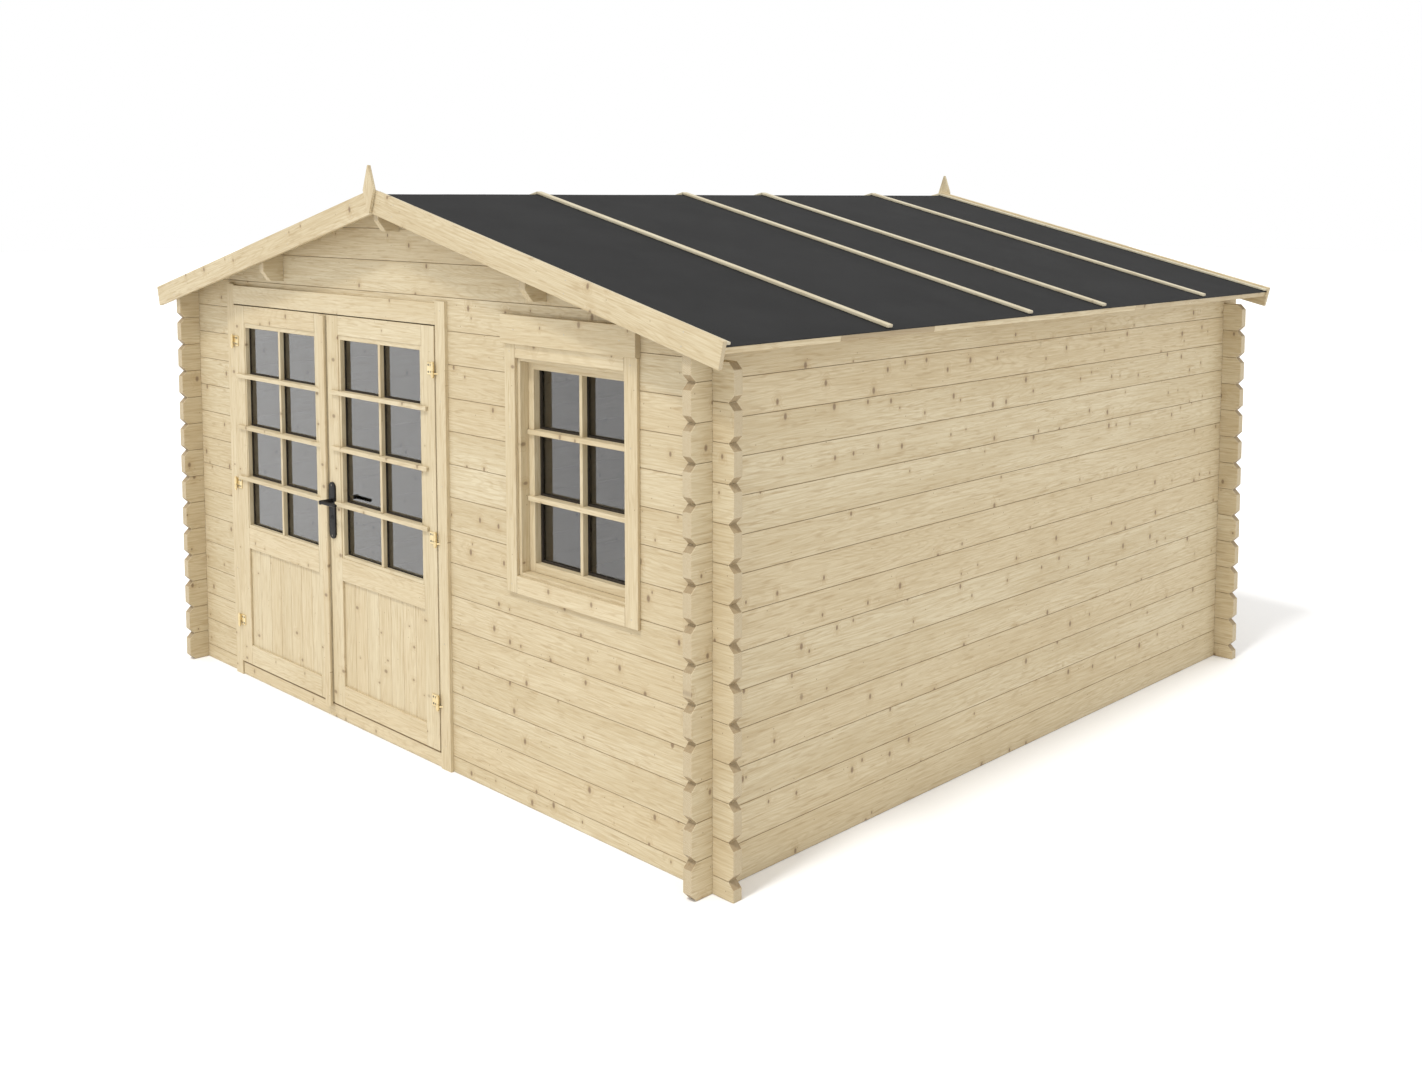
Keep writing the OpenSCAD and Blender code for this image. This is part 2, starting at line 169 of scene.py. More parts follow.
# ---------------------------------------------------------------- wood
def make_wood(name, light, dark, streak=1.0, knots=1.0, rough=0.62):
    """Planed softwood. gco is the place in the board (along, across, through) with an offset of its own for each board,
    pco the place round its heart, tone a number for each board, endg marks cut ends, and painted_shade_and_dark_lengths
    darkens faces: painted shade in the grooves between boards, on the chamfers of the log ends, at board ends and on
    the door sill, and darker lengths of eave lath."""
    t = Tree(name)
    u, v, w = t.split(t.attr("gco").outputs["Vector"])
    pu, pv, pw = t.split(t.attr("pco").outputs["Vector"])
    tone = t.attr("tone").outputs["Fac"]
    endg = t.attr("endg").outputs["Fac"]
    painted_shade_and_dark_lengths = t.attr("painted_shade_and_dark_lengths").outputs["Fac"]

    # knots: round ones taller across the board, and pin knots
    kd, kc = t.voronoi(t.join(t.math("MULTIPLY", u, 1.25), t.math("MULTIPLY", v, 0.82)), 6.5)
    kr, kg, kb = t.split(kc)
    has = t.step(kg, 0.60, 0.62, 1.0, 0.0, "LINEAR")
    rad = t.math("MULTIPLY_ADD", kr, 0.062)
    rad.node.inputs[2].default_value = 0.036
    core = t.math("MULTIPLY", t.step(kd, t.math("MULTIPLY", rad, 0.30), rad, 1.0, 0.0), has)
    heart = t.math("MULTIPLY", t.step(kd, 0.0, t.math("MULTIPLY", rad, 0.45), 1.0, 0.0), has)
    halo = t.math("MULTIPLY", t.step(kd, t.math("MULTIPLY", rad, 0.7), t.math("MULTIPLY", rad, 3.4), 1.0, 0.0), has)
    sd, sc = t.voronoi(t.join(u, v), 13.0)
    sr, sg, sb = t.split(sc)
    pin = t.math("MULTIPLY", t.step(sd, 0.012, 0.042, 1.0, 0.0), t.step(sg, 0.20, 0.21, 1.0, 0.0, "LINEAR"))

    # growth rings as level lines of a field drawn out along the board, pushed aside by the knots
    field = t.noise(t.join(t.math("MULTIPLY", u, 0.55), t.math("MULTIPLY", v, 8.0), t.math("MULTIPLY", w, 8.0)), 1.0, 1.6, 0.45)
    turns = t.math("MULTIPLY_ADD", field, 46.0)
    t.link(t.math("MULTIPLY", halo, 1.6), turns.node.inputs[2])
    side_ring = t.math("SINE", t.math("MULTIPLY", turns, 6.2832))
    reach = t.math("SQRT", t.math("ADD", t.math("MULTIPLY", pv, pv), t.math("MULTIPLY", pw, pw)))
    wob = t.math("MULTIPLY_ADD", t.noise(t.join(pv, pw, tone), 22.0, 2.0), 0.004)
    t.link(reach, wob.node.inputs[2])
    end_ring = t.math("SINE", t.math("MULTIPLY", wob, 6.2832 / 0.0050))
    ring = t.node("ShaderNodeMix", data_type="FLOAT")
    t.link(endg, ring.inputs[0])
    t.link(side_ring, ring.inputs[2])
    t.link(end_ring, ring.inputs[3])
    late = t.step(ring.outputs[0], 0.1, 1.0)

    # fibres
    fa = t.noise(t.join(t.math("MULTIPLY", u, 5.0), t.math("MULTIPLY", v, 130.0), t.math("MULTIPLY", w, 130.0)), 1.0, 2.0, 0.55)
    fb = t.noise(t.join(t.math("MULTIPLY", u, 22.0), t.math("MULTIPLY", v, 480.0), t.math("MULTIPLY", w, 480.0)), 1.0, 2.0, 0.6)
    broad = t.noise(t.join(t.math("MULTIPLY", u, 0.9), t.math("MULTIPLY", v, 6.5), t.math("MULTIPLY", w, 6.5)), 1.0, 2.0)
    dash = t.noise(t.join(t.math("MULTIPLY", u, 11.0), t.math("MULTIPLY", v, 105.0), t.math("MULTIPLY", w, 105.0)), 1.0, 1.0, 0.5)
    sa = t.step(fa, 0.36, 0.70)
    sb2 = t.step(fb, 0.35, 0.70)
    db = t.step(dash, 0.57, 0.74)

    base = t.mix(t.step(broad, 0.30, 0.72), light, dark)
    base = t.mix(t.math("MULTIPLY", tone, 0.55), base, tuple(c * k for c, k in zip(light, (0.94, 0.885, 0.82))))
    line = tuple(c * k for c, k in zip(dark, (0.78, 0.70, 0.60)))
    base = t.mix(t.math("MULTIPLY", late, 0.28 * streak), base, line)
    base = t.mix(t.math("MULTIPLY", sa, 0.42 * streak), base, line)
    base = t.mix(t.math("MULTIPLY", sb2, 0.28 * streak), base, line)
    base = t.mix(t.math("MULTIPLY", db, 0.46 * streak), base, tuple(c * k for c, k in zip(dark, (0.68, 0.58, 0.47))))
    base = t.mix(t.math("MULTIPLY", halo, 0.28 * knots), base, tuple(c * k for c, k in zip(dark, (0.72, 0.60, 0.47))))
    base = t.mix(t.math("MULTIPLY", pin, 0.85 * knots), base, (0.225, 0.150, 0.085))
    base = t.mix(t.math("MULTIPLY", core, 0.90 * knots), base, (0.205, 0.140, 0.082))
    base = t.mix(t.math("MULTIPLY", heart, 0.30 * knots), base, (0.37, 0.245, 0.140))
    base = t.mix(t.math("MULTIPLY", endg, 0.62), base, tuple(c * k for c, k in zip(dark, (0.84, 0.83, 0.86))))
    base = t.mix(t.math("MULTIPLY", t.math("MULTIPLY", endg, late), 0.42), base, tuple(c * k for c, k in zip(dark, (0.58, 0.50, 0.44))))
    # painted shade: faces marked by painted_shade_and_dark_lengths turn deep brown, standing in for the shade in
    # grooves, joints and under overhangs; on the eave lath it only makes some lengths darker
    base = t.mix(painted_shade_and_dark_lengths, base, tuple(c * k for c, k in zip(dark, (0.36, 0.27, 0.19))))
    t.link(base, t.bsdf.inputs["Base Color"])

    r = t.math("MULTIPLY_ADD", sa, 0.14)
    r.node.inputs[2].default_value = rough - 0.07
    t.link(r, t.bsdf.inputs["Roughness"])
    t.bsdf.inputs["Specular IOR Level"].default_value = 0.32
    h = t.math("ADD", t.math("MULTIPLY", sa, -0.5), t.math("MULTIPLY", late, 0.35))
    h = t.math("ADD", h, t.math("MULTIPLY", sb2, -0.35))
    h = t.math("ADD", h, t.math("MULTIPLY", core, 0.6))
    t.bump(h, 0.35, 0.0005)
    return t.mat


LIGHT, DARK = (0.636, 0.556, 0.384), (0.546, 0.458, 0.294)
WOOD = make_wood("planed_spruce", LIGHT, DARK)
JOINERY = make_wood("joinery_spruce", tuple(c * 1.03 for c in LIGHT), tuple(c * 1.04 for c in DARK), streak=0.80, knots=0.85, rough=0.55)
BATTEN = make_wood("batten_spruce", (0.635, 0.595, 0.455), (0.555, 0.500, 0.365), streak=0.8, knots=0.5, rough=0.68)
DECKWOOD = make_wood("deck_spruce", tuple(c * 0.98 for c in LIGHT), tuple(c * 0.97 for c in DARK), streak=1.0, knots=1.0, rough=0.7)


# ---------------------------------------------------------------- felt, glass, metals
def make_felt():
    t = Tree("roof_felt")
    p = t.node("ShaderNodeTexCoord").outputs["Object"]
    grit = t.noise(p, 620.0, 2.0, 0.6)
    fleck = t.noise(p, 1500.0, 1.0, 0.5)
    patch = t.noise(p, 3.2, 4.0, 0.6)
    base = t.mix(t.step(grit, 0.30, 0.72), (0.0145, 0.0144, 0.0142), (0.0265, 0.0263, 0.0260))
    base = t.mix(t.step(fleck, 0.66, 0.74, 0.0, 0.5), base, (0.075, 0.074, 0.072))
    base = t.mix(t.step(patch, 0.35, 0.75, 0.0, 0.30), base, (0.0185, 0.0184, 0.0182))
    t.link(base, t.bsdf.inputs["Base Color"])
    t.link(t.step(patch, 0.2, 0.8, 0.88, 0.98), t.bsdf.inputs["Roughness"])
    t.bsdf.inputs["Specular IOR Level"].default_value = 0.18
    t.bump(t.math("ADD", grit, t.math("MULTIPLY", fleck, 0.5)), 0.55, 0.0009)
    return t.mat


def make_glass(name, ior, tint):
    """Clear pane with a faint grey tint, a little greyer where it is dusty."""
    t = Tree(name)
    p = t.node("ShaderNodeTexCoord").outputs["Object"]
    b = t.bsdf
    dust = t.noise(p, 1.7, 3.0, 0.6)
    t.link(t.mix(t.step(dust, 0.3, 0.75), tint, tuple(c * 0.92 for c in tint)), b.inputs["Base Color"])
    b.inputs["Transmission Weight"].default_value = 1.0
    b.inputs["IOR"].default_value = ior
    b.inputs["Roughness"].default_value = 0.0
    return t.mat


# painted shade: near-black rubber strips put round the panes and along the bars where the glazing lies in shade
def make_painted_shade_rubber():
    t = Tree("painted_shade_rubber")
    p = t.node("ShaderNodeTexCoord").outputs["Object"]
    n = t.noise(p, 90.0, 2.0, 0.5)
    t.link(t.mix(t.step(n, 0.3, 0.7), (0.028, 0.022, 0.016), (0.042, 0.034, 0.025)), t.bsdf.inputs["Base Color"])
    t.link(t.step(n, 0.3, 0.7, 0.62, 0.74), t.bsdf.inputs["Roughness"])
    t.bsdf.inputs["Specular IOR Level"].default_value = 0.2
    return t.mat


def make_metal(name, col, worn, rough, metallic, spec=0.5):
    t = Tree(name)
    p = t.node("ShaderNodeTexCoord").outputs["Object"]
    fine = t.noise(p, 240.0, 3.0, 0.6)
    blot = t.noise(p, 34.0, 3.0, 0.6)
    base = t.mix(t.step(blot, 0.35, 0.75), col, worn)
    t.link(base, t.bsdf.inputs["Base Color"])
    t.bsdf.inputs["Metallic"].default_value = metallic
    t.link(t.step(fine, 0.25, 0.8, rough - 0.06, rough + 0.10), t.bsdf.inputs["Roughness"])
    t.bsdf.inputs["Specular IOR Level"].default_value = spec
    t.bump(fine, 0.12, 0.0002)
    return t.mat


FELT = make_felt()
PANE = make_glass("door_pane", 1.98, (0.55, 0.535, 0.510))
PANE2 = make_glass("window_pane", 1.80, (0.50, 0.485, 0.465))
PAINTED_SHADE_RUBBER = make_painted_shade_rubber()
BRASS = make_metal("brass_plated", (0.82, 0.68, 0.40), (0.68, 0.53, 0.28), 0.36, 0.85)
BLACK = make_metal("black_lacquer", (0.0095, 0.0088, 0.0080), (0.016, 0.015, 0.014), 0.46, 0.0, 0.22)
NAIL = make_metal("nail_steel", (0.56, 0.51, 0.41), (0.45, 0.40, 0.31), 0.46, 0.6)
# zinc-plated steel for the screws, made darker than the steel's own grey: painted shade standing in for the shadow in
# the screw recesses
SHADED_SCREW_STEEL = make_metal("zinc_steel_painted_shade", (0.24, 0.22, 0.185), (0.16, 0.147, 0.122), 0.42, 0.9)


# ---------------------------------------------------------------- mesh helpers
def islands(bm):
    seen, out = set(), []
    for f0 in bm.faces:
        if f0 in seen:
            continue
        seen.add(f0)
        todo, faces = [f0], []
        while todo:
            f = todo.pop()
            faces.append(f)
            for e in f.edges:
                for g in e.link_faces:
                    if g not in seen:
                        seen.add(g)
                        todo.append(g)
        out.append(faces)
    return out


def axes_auto(lo, hi, c):
    d = hi - lo
    order = sorted(range(3), key=lambda i: -d[i])
    unit = [Vector((1, 0, 0)), Vector((0, 1, 0)), Vector((0, 0, 1))]
    return [unit[i] for i in order]


def axes_slope(lo, hi, c):
    s = 1 if c.x > 0 else -1
    return [Vector((s * CA, 0, -SA)), Vector((s * SA, 0, CA)), Vector((0, 1, 0))]


def axes_slope_flat(lo, hi, c):
    a = axes_slope(lo, hi, c)
    return [a[0], a[2], a[1]]


def grain(bm, axes, groove=0.0, cut=0.0, ends=0.0):
    """Writes the wood coordinates of every board in bm."""
    g = bm.verts.layers.float_vector.new("gco")
    p = bm.verts.layers.float_vector.new("pco")
    t = bm.verts.layers.float.new("tone")
    e = bm.faces.layers.float.new("endg")
    dl = bm.faces.layers.float.new("painted_shade_and_dark_lengths")
    bm.normal_update()
    for faces in islands(bm):
        verts = {v for f in faces for v in f.verts}
        lo = Vector([min(v.co[i] for v in verts) for i in range(3)])
        hi = Vector([max(v.co[i] for v in verts) for i in range(3)])
        c = (lo + hi) / 2
        a, b, n = axes(lo, hi, c)
        off = Vector((rng.uniform(0, 60), rng.uniform(0, 60), rng.uniform(0, 60)))
        pv, pw = rng.uniform(-0.035, 0.035), rng.choice((-1, 1)) * rng.uniform(0.012, 0.05)
        tone = rng.random()
        for v in verts:
            d = v.co - c
            x, y, z = d.dot(a), d.dot(b), d.dot(n)
            v[g] = Vector((x, y, z)) + off
            v[p] = (x, y - pv, z - pw)
            v[t] = tone
        for f in faces:
            na, nb, nn = (abs(f.normal.dot(q)) for q in (a, b, n))
            f[e] = 1.0 if na > 0.8 else 0.0
            f[dl] = 0.0
            # painted shade: the bevels along a board's long edges (the grooves between boards) get groove, the large
            # chamfers at log ends get cut, and the slanted faces at board ends get ends, darkening them where shade
            # falls
            if groove and na < 0.2 and nb > 0.25 and nn > 0.25:
                f[dl] = groove
            elif cut and 0.3 < na < 0.9 and f.calc_area() > 8e-4:
                f[dl] = cut
            elif ends and 0.25 < na < 0.95:
                f[dl] = ends


def soften(bm, width, segments=2, angle=30.0, where=None):
    """Bevels the outward edges."""
    if width <= 0:
        return
    bm.normal_update()
    edges = [
        e for e in bm.edges
        if len(e.link_faces) == 2 and e.is_convex and e.calc_face_angle(0.0) > math.radians(angle)
        and (where is None or where(e))
    ]
    if edges:
        bmesh.ops.bevel(bm, geom=edges, offset=width, offset_type="OFFSET", segments=segments, profile=0.5,
                        affect="EDGES", clamp_overlap=True)


def to_object(name, bm, mat, body, replaces=(), smooth=None):
    me = bpy.data.meshes.new(name)
    bmesh.ops.triangulate(bm, faces=[f for f in bm.faces if len(f.verts) > 4])
    bm.normal_update()
    if smooth is not None:
        for f in bm.faces:
            f.smooth = True
        lim = math.radians(smooth)
        for e in bm.edges:
            e.smooth = len(e.link_faces) == 2 and e.calc_face_angle(0.0) < lim
    bm.to_mesh(me)
    bm.free()
    me.materials.append(mat)
    ob = bpy.data.objects.new(name, me)
    bpy.context.scene.collection.objects.link(ob)
    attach(ob, body)
    if replaces:
        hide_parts(*replaces)
    return ob


def from_node(node):
    """The CAD node's own mesh, welded, with its flat faces whole again."""
    bm = bmesh.new()
    bm.from_mesh(NODES[node].data)
    bmesh.ops.remove_doubles(bm, verts=bm.verts, dist=0.00004)
    bmesh.ops.recalc_face_normals(bm, faces=bm.faces)
    bmesh.ops.dissolve_limit(bm, angle_limit=math.radians(0.6), use_dissolve_boundaries=False,
                             verts=bm.verts, edges=bm.edges)
    return bm


def wood_node(node, body, mat=None, width=0.0025, axes=axes_auto, segments=2, where=None, groove=0.0, cut=0.0, ends=0.0):
    bm = from_node(node)
    soften(bm, width, segments, where=where)
    grain(bm, axes, groove, cut, ends)
    return to_object("v_" + node, bm, mat or WOOD, body, (node,))


def add_prism(bm, pts, y0, y1):
    """Closed prism of a polygon in x, z between y0 and y1."""
    a = [bm.verts.new((x, y0, z)) for x, z in pts]
    b = [bm.verts.new((x, y1, z)) for x, z in pts]
    n = len(pts)
    fs = [bm.faces.new(a), bm.faces.new(b[::-1])]
    for i in range(n):
        j = (i + 1) % n
        fs.append(bm.faces.new((a[i], b[i], b[j], a[j])))
    bmesh.ops.recalc_face_normals(bm, faces=fs)
    return fs


def add_box(bm, x0, x1, y0, y1, z0, z1):
    return add_prism(bm, [(x0, z0), (x1, z0), (x1, z1), (x0, z1)], y0, y1)


def add_lathe(bm, centre, axis, profile, segs=24):
    """Turned piece: profile is [(radius, height along axis)], closed at both ends."""
    axis = Vector(axis).normalized()
    side = axis.orthogonal().normalized()
    other = axis.cross(side)
    centre = Vector(centre)
    rings = []
    for r, h in profile:
        if r < 1e-6:
            rings.append([bm.verts.new(centre + axis * h)])
        else:
            rings.append([
                bm.verts.new(centre + axis * h + (side * math.cos(q) + other * math.sin(q)) * r)
                for q in (2 * math.pi * i / segs for i in range(segs))
            ])
    fs = []
    for a, b in zip(rings, rings[1:]):
        for i in range(segs):
            j = (i + 1) % segs
            if len(a) == 1:
                fs.append(bm.faces.new((a[0], b[i], b[j])))
            elif len(b) == 1:
                fs.append(bm.faces.new((a[i], b[0], a[j])))
            else:
                fs.append(bm.faces.new((a[i], b[i], b[j], a[j])))
    for ring in (rings[0], rings[-1]):
        if len(ring) > 1:
            fs.append(bm.faces.new(ring))
    bmesh.ops.recalc_face_normals(bm, faces=fs)


def add_screw(bm, at, out, r=0.0042, h=0.0016):
    """Domed screw head with a cross recess, standing on at and facing out."""
    out = Vector(out).normalized()
    side = out.orthogonal().normalized()
    other = out.cross(side)
    at = Vector(at)
    segs = 24
    prof = [(r, 0.0), (r, h * 0.35), (r * 0.86, h * 0.78), (r * 0.62, h)]
    rings = []
    for rr, hh in prof:
        rings.append([bm.verts.new(at + out * hh + (side * math.cos(q) + other * math.sin(q)) * rr)
                      for q in (2 * math.pi * i / segs for i in range(segs))])
    # cross recess: the innermost ring is joined to a sunk cross
    cross = []
    for i in range(segs):
        q = 2 * math.pi * i / segs
        k = (i % (segs // 4)) / (segs // 4)
        rr = r * (0.52 if k in (0.0,) or k > 0.84 or k < 0.17 else 0.16)
        cross.append(bm.verts.new(at + out * h * 0.98 + (side * math.cos(q) + other * math.sin(q)) * rr))
    deep = [bm.verts.new(v.co - out * h * 0.75) for v in cross]
    rings += [cross, deep]
    fs = [bm.faces.new(rings[0][::-1])]
    for a, b in zip(rings, rings[1:]):
        for i in range(segs):
            j = (i + 1) % segs
            fs.append(bm.faces.new((a[i], a[j], b[j], b[i])))
    mid = bm.verts.new(at + out * h * 0.2)
    for i in range(segs):
        fs.append(bm.faces.new((deep[i], deep[(i + 1) % segs], mid)))
    bmesh.ops.recalc_face_normals(bm, faces=fs)


# ---------------------------------------------------------------- walls
# painted shade: groove darkens the grooves between the logs and cut the log-end chamfers that lie under the log above
for n in ("left_wall", "right_wall", "back_wall", "back_gable", "front_left_wall", "front_low_wall",
          "front_mid_wall", "front_right_wall", "lintel_log", "front_gable"):
    wood_node(n, "shed", WOOD, 0.0015, groove=0.55, cut=0.60)

# ---------------------------------------------------------------- roof
wood_node("purlins", "shed", WOOD, 0.002)

for s, node in ((-1, "deck_left"), (1, "deck_right")):
    bm = bmesh.new()
    count = 40
    pitch_y = 2 * DECK_Y / count
    for i in range(count):
        y0 = -DECK_Y + i * pitch_y + (0.0003 if i else 0.0)
        y1 = -DECK_Y + (i + 1) * pitch_y - (0.0003 if i < count - 1 else 0.0)
        pts = [(s * 0.0003, RIDGE - PITCH * 0.0003), rp(DECK_U, 0, s), rp(DECK_U, DECK_T, s),
               (s * 0.0003, RIDGE - PITCH * 0.0003 + DECK_T / CA)]
        add_prism(bm, pts, y0, y1)
    soften(bm, 0.0028, 1, where=lambda e: abs((e.verts[0].co - e.verts[1].co).y) < 1e-6 and (e.verts[0].co - e.verts[1].co).length > 0.5)
    grain(bm, axes_slope_flat)
    to_object("deck_boards_" + ("left" if s < 0 else "right"), bm, DECKWOOD, "shed", (node,))


def felt_sheet():
    """One sheet over both slopes, folded over the ridge, with slack between the battens."""
    bm = bmesh.new()
    us = []
    n = 44
    umax = DECK_U + 0.018
    for i in range(n + 1):
        us.append(umax * i / n)
    ys = [-DECK_Y + 2 * DECK_Y * j / 64 for j in range(65)]
    cols = [(-1, u) for u in reversed(us[1:])] + [(0, 0.0)] + [(1, u) for u in us[1:]]
    top, low = [], []
    for s, u in cols:
        rt, rl = [], []
        for y in ys:
            q = mnoise.noise(Vector((u * 2.2 * (s or 1) + 4.0, y * 2.6, 1.7)))
            q2 = mnoise.noise(Vector((u * 7.0 * (s or 1), y * 8.0, 9.1)))
            slack = 0.0009 + 0.0009 * q + 0.00035 * q2
            slack = min(max(slack, 0.0), 0.0022)
            if abs(y) > DECK_Y - 0.03:
                slack = 0.0
            droop = 0.0
            if u > DECK_U - 0.004:
                droop = 0.0022 * ((u - DECK_U + 0.004) / 0.022) ** 2
            vt = DECK_T + FELT_T - slack - droop
            vl = DECK_T + 0.0002 - droop
            if s == 0:
                rt.append(bm.verts.new((0.0, y, RIDGE + vt / CA - 0.0006)))
                rl.append(bm.verts.new((0.0, y, RIDGE + vl / CA)))
            else:
                x, z = rp(u, vt, s)
                rt.append(bm.verts.new((x, y, z)))
                x, z = rp(u, vl, s)
                rl.append(bm.verts.new((x, y, z)))
        top.append(rt)
        low.append(rl)
    nc, ny = len(cols), len(ys)
    for i in range(nc - 1):
        for j in range(ny - 1):
            bm.faces.new((top[i][j], top[i + 1][j], top[i + 1][j + 1], top[i][j + 1]))
            bm.faces.new((low[i][j], low[i][j + 1], low[i + 1][j + 1], low[i + 1][j]))
    for i in range(nc - 1):
        bm.faces.new((top[i][0], low[i][0], low[i + 1][0], top[i + 1][0]))
        bm.faces.new((top[i][-1], top[i + 1][-1], low[i + 1][-1], low[i][-1]))
    for j in range(ny - 1):
        bm.faces.new((top[0][j], top[0][j + 1], low[0][j + 1], low[0][j]))
        bm.faces.new((top[-1][j], low[-1][j], low[-1][j + 1], top[-1][j + 1]))
    bmesh.ops.recalc_face_normals(bm, faces=bm.faces)
    return to_object("felt_sheet", bm, FELT, "shed", ("felt_left", "felt_right"), smooth=25)


felt_sheet()

bm = bmesh.new()
LATH_H, LATH_T = 0.026, 0.012
for s in (-1, 1):
    pts = [rp(DECK_U + 0.0003, DECK_T - LATH_H, s), rp(DECK_U + 0.0003 + LATH_T, DECK_T - LATH_H, s),
           rp(DECK_U + 0.0003 + LATH_T, DECK_T, s), rp(DECK_U + 0.0003, DECK_T, s)]
    cuts = [-DECK_Y, -1.344, -0.818, 0.640, DECK_Y]
    for y0, y1 in zip(cuts, cuts[1:]):
        add_prism(bm, pts, y0 + (0.0004 if y0 > -DECK_Y else 0), y1 - (0.0004 if y1 < DECK_Y else 0))
soften(bm, 0.0012, 2)
grain(bm, axes_auto)
# the middle lengths of the eave laths are darker and the rear lengths a little darker
dl = bm.faces.layers.float["painted_shade_and_dark_lengths"]
for f in bm.faces:
    y = f.calc_center_median().y
    f[dl] = 0.50 if -1.344 < y < -0.818 else 0.20 if y > 0.640 else 0.0
to_object("eave_lath_lengths", bm, WOOD, "shed", ("eave_laths",))
wood_node("roof_battens", "shed", BATTEN, 0.0030, axes_slope_flat, 2)
wood_node("gable_slats", "shed", BATTEN, 0.0020, axes_slope_flat, 2)
wood_node("bargeboards_front", "shed", WOOD, 0.0018, axes_slope)
wood_node("bargeboards_back", "shed", WOOD, 0.0018, axes_slope)
wood_node("finials", "shed", WOOD, 0.0015)

# ---------------------------------------------------------------- joinery
# painted shade: groove and ends darken the long-edge bevels and the board-end bevels of the casings and leaf frames,
# where the boards meet
wood_node("door_casing", "shed", JOINERY, 0.0018, groove=0.06, ends=0.35)
wood_node("door_frame", "shed", JOINERY, 0.0012)
bm = from_node("door_sill")
soften(bm, 0.0060)
grain(bm, axes_auto)
# painted shade: every upward face of the sill is darkened, standing in for the shadow under the leaves' bottom edges
dl = bm.faces.layers.float["painted_shade_and_dark_lengths"]
for f in bm.faces:
    if f.normal.z > 0.2:
        f[dl] = 0.90
to_object("v_door_sill", bm, JOINERY, "shed", ("door_sill",))
wood_node("window_casing", "shed", JOINERY, 0.0018, groove=0.06, ends=0.35)
wood_node("window_top_board", "shed", JOINERY, 0.0020)
wood_node("window_frame", "shed", JOINERY, 0.0015)
wood_node("window_sash", "shed", JOINERY, 0.0015)
wood_node("left_leaf_frame", "left_leaf", JOINERY, 0.0015, groove=0.10, ends=0.45)
wood_node("right_leaf_frame", "right_leaf", JOINERY, 0.0015, groove=0.10, ends=0.45)
wood_node("meeting_strip", "left_leaf", JOINERY, 0.0030)


def panel_boards(node, body, count):
    lo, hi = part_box(node)
    bm = bmesh.new()
    w = (hi.x - lo.x) / count
    for i in range(count):
        add_box(bm, lo.x + i * w + (0.0002 if i else 0), lo.x + (i + 1) * w - (0.0002 if i < count - 1 else 0),
                lo.y, hi.y, lo.z, hi.z)
    soften(bm, 0.0018, 1, where=lambda e: abs((e.verts[0].co - e.verts[1].co).z) > 0.2)
    # painted shade: the bevels between the panel boards are darkened
    grain(bm, axes_auto, 0.16)
    to_object("panel_boards_" + body, bm, JOINERY, body, (node,))


panel_boards("left_leaf_panel", "left_leaf", 7)
panel_boards("right_leaf_panel", "right_leaf", 7)


def grid_solid(bm, xs, zs, solid, y0, y1):
    """One closed solid from the cells of a grid in x, z that solid() picks."""
    on = [[solid((xs[i] + xs[i + 1]) / 2, (zs[k] + zs[k + 1]) / 2) for k in range(len(zs) - 1)] for i in range(len(xs) - 1)]
    made = {}

    def vert(i, k, y):
        if (i, k, y) not in made:
            made[(i, k, y)] = bm.verts.new((xs[i], y, zs[k]))
        return made[(i, k, y)]

    fs = []
    for i in range(len(xs) - 1):
        for k in range(len(zs) - 1):
            if not on[i][k]:
                continue
            ring = ((i, k), (i + 1, k), (i + 1, k + 1), (i, k + 1))
            fs.append(bm.faces.new([vert(a, b, y0) for a, b in ring]))
            fs.append(bm.faces.new([vert(a, b, y1) for a, b in ring[::-1]]))
            for j, (di, dk) in enumerate(((0, -1), (1, 0), (0, 1), (-1, 0))):
                ni, nk = i + di, k + dk
                if 0 <= ni < len(xs) - 1 and 0 <= nk < len(zs) - 1 and on[ni][nk]:
                    continue
                a, b = ring[j], ring[(j + 1) % 4]
                fs.append(bm.faces.new((vert(*a, y0), vert(*a, y1), vert(*b, y1), vert(*b, y0))))
    bmesh.ops.recalc_face_normals(bm, faces=fs)


def frame_boxes(bm, o, c, y0, y1):
    """Four strips that fill from the opening o in to the clear light c, both (x0, x1, z0, z1)."""
    e = 0.0002
    add_box(bm, o[0] + e, c[0], y0, y1, o[2] + e, o[3] - e)
    add_box(bm, c[1], o[1] - e, y0, y1, o[2] + e, o[3] - e)
    add_box(bm, c[0] + e, c[1] - e, y0, y1, o[2] + e, c[2])
    add_box(bm, c[0] + e, c[1] - e, y0, y1, c[3], o[3] - e)


